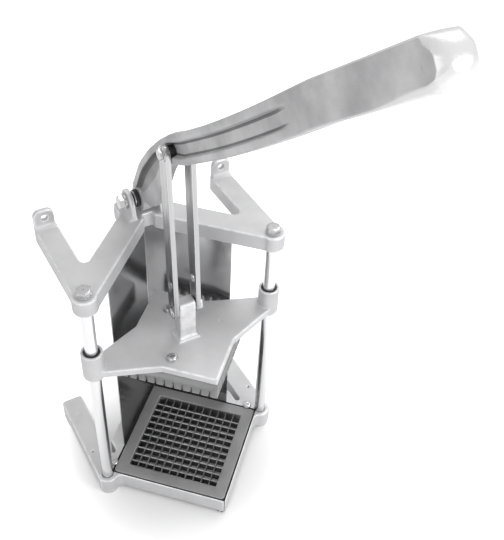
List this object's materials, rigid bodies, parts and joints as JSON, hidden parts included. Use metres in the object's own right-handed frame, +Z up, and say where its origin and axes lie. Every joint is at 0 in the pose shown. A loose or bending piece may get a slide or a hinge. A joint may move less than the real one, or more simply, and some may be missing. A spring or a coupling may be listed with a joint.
{
  "type": "french fry cutter",
  "caption": "Lever press that pushes a potato through a square blade grid: two columns, a guided pusher, links and a long handle.",
  "frame": {"origin": "middle of the footprint, on the surface that the press stands on, with the lever raised", "axes": "+Z up along the columns, +X to the user's right along the row of columns, the lever's handle points to -Y"},
  "size_m": [0.225, 0.4131, 0.6636],
  "materials": {
    "cast_aluminium": "cast aluminium, satin, light grey",
    "handle_aluminium": "cast aluminium, linished along the handle, brighter at the grip's end",
    "polished_steel": "ground and polished steel rod",
    "link_steel": "bright flat bar, lengthwise grain",
    "bolt_steel": "zinc plated steel",
    "sheet_steel": "stainless sheet, smooth",
    "dark_frame": "dark grey coated casting, slightly rough",
    "blade_steel": "stainless blade strip",
    "dark_spacer": "black oxide",
    "bronze": "plain bearing bronze",
    "pusher_plastic": "dark grey moulded plastic",
    "bushing_plastic": "dark bearing plastic"
  },
  "bodies": {
    "root": {"base_casting": "cast_aluminium", "top_casting": "cast_aluminium", "left_column": "polished_steel", "right_column": "polished_steel", "column_top_bolts": "bolt_steel", "column_top_washers": "bolt_steel", "column_bottom_bolts": "bolt_steel", "blade_frame": "dark_frame", "long_blades": "blade_steel", "cross_blades": "blade_steel", "clamp_screws": "bolt_steel", "back_guard": "sheet_steel", "guard_screws": "bolt_steel", "pivot_bolt": "bolt_steel", "pivot_nut": "bolt_steel", "pivot_washers": "bolt_steel", "pivot_spacers": "dark_spacer"},
    "lever": {"lever": "handle_aluminium", "hub_bushing": "bronze", "link_spacers": "dark_spacer"},
    "links": {"left_link": "link_steel", "right_link": "link_steel", "upper_link_screws": "bolt_steel", "upper_link_washers": "bolt_steel"},
    "pusher": {"pusher_carrier": "cast_aluminium", "left_bushing": "bushing_plastic", "right_bushing": "bushing_plastic", "pusher_block": "pusher_plastic", "pusher_screws": "bolt_steel", "pusher_washers": "bolt_steel", "lower_link_bolt": "bolt_steel", "lower_link_nut": "bolt_steel", "lower_link_washers": "bolt_steel"}
  },
  "joints": [
    {"name": "lever_hinge", "type": "hinge", "parent": "root", "child": "lever", "pos_m": [0, 0.17862, 0.322], "axis": [1, 0, 0], "range_deg": [0, 75]},
    {"name": "pusher_slide", "type": "slide", "parent": "root", "child": "pusher", "axis": [0, 0, 1], "range_m": [-0.16, 0]},
    {"name": "link_swing", "type": "hinge", "parent": "pusher", "child": "links", "pos_m": [0, 0.08262, 0.247], "axis": [1, 0, 0], "range_deg": [0, 12.7]}
  ],
  "couplings": [
    {"joint": "pusher_slide", "follows": "lever_hinge", "m_per_rad": -0.12208},
    {"joint": "link_swing", "follows": "lever_hinge", "ratio": 0.16812}
  ]
}
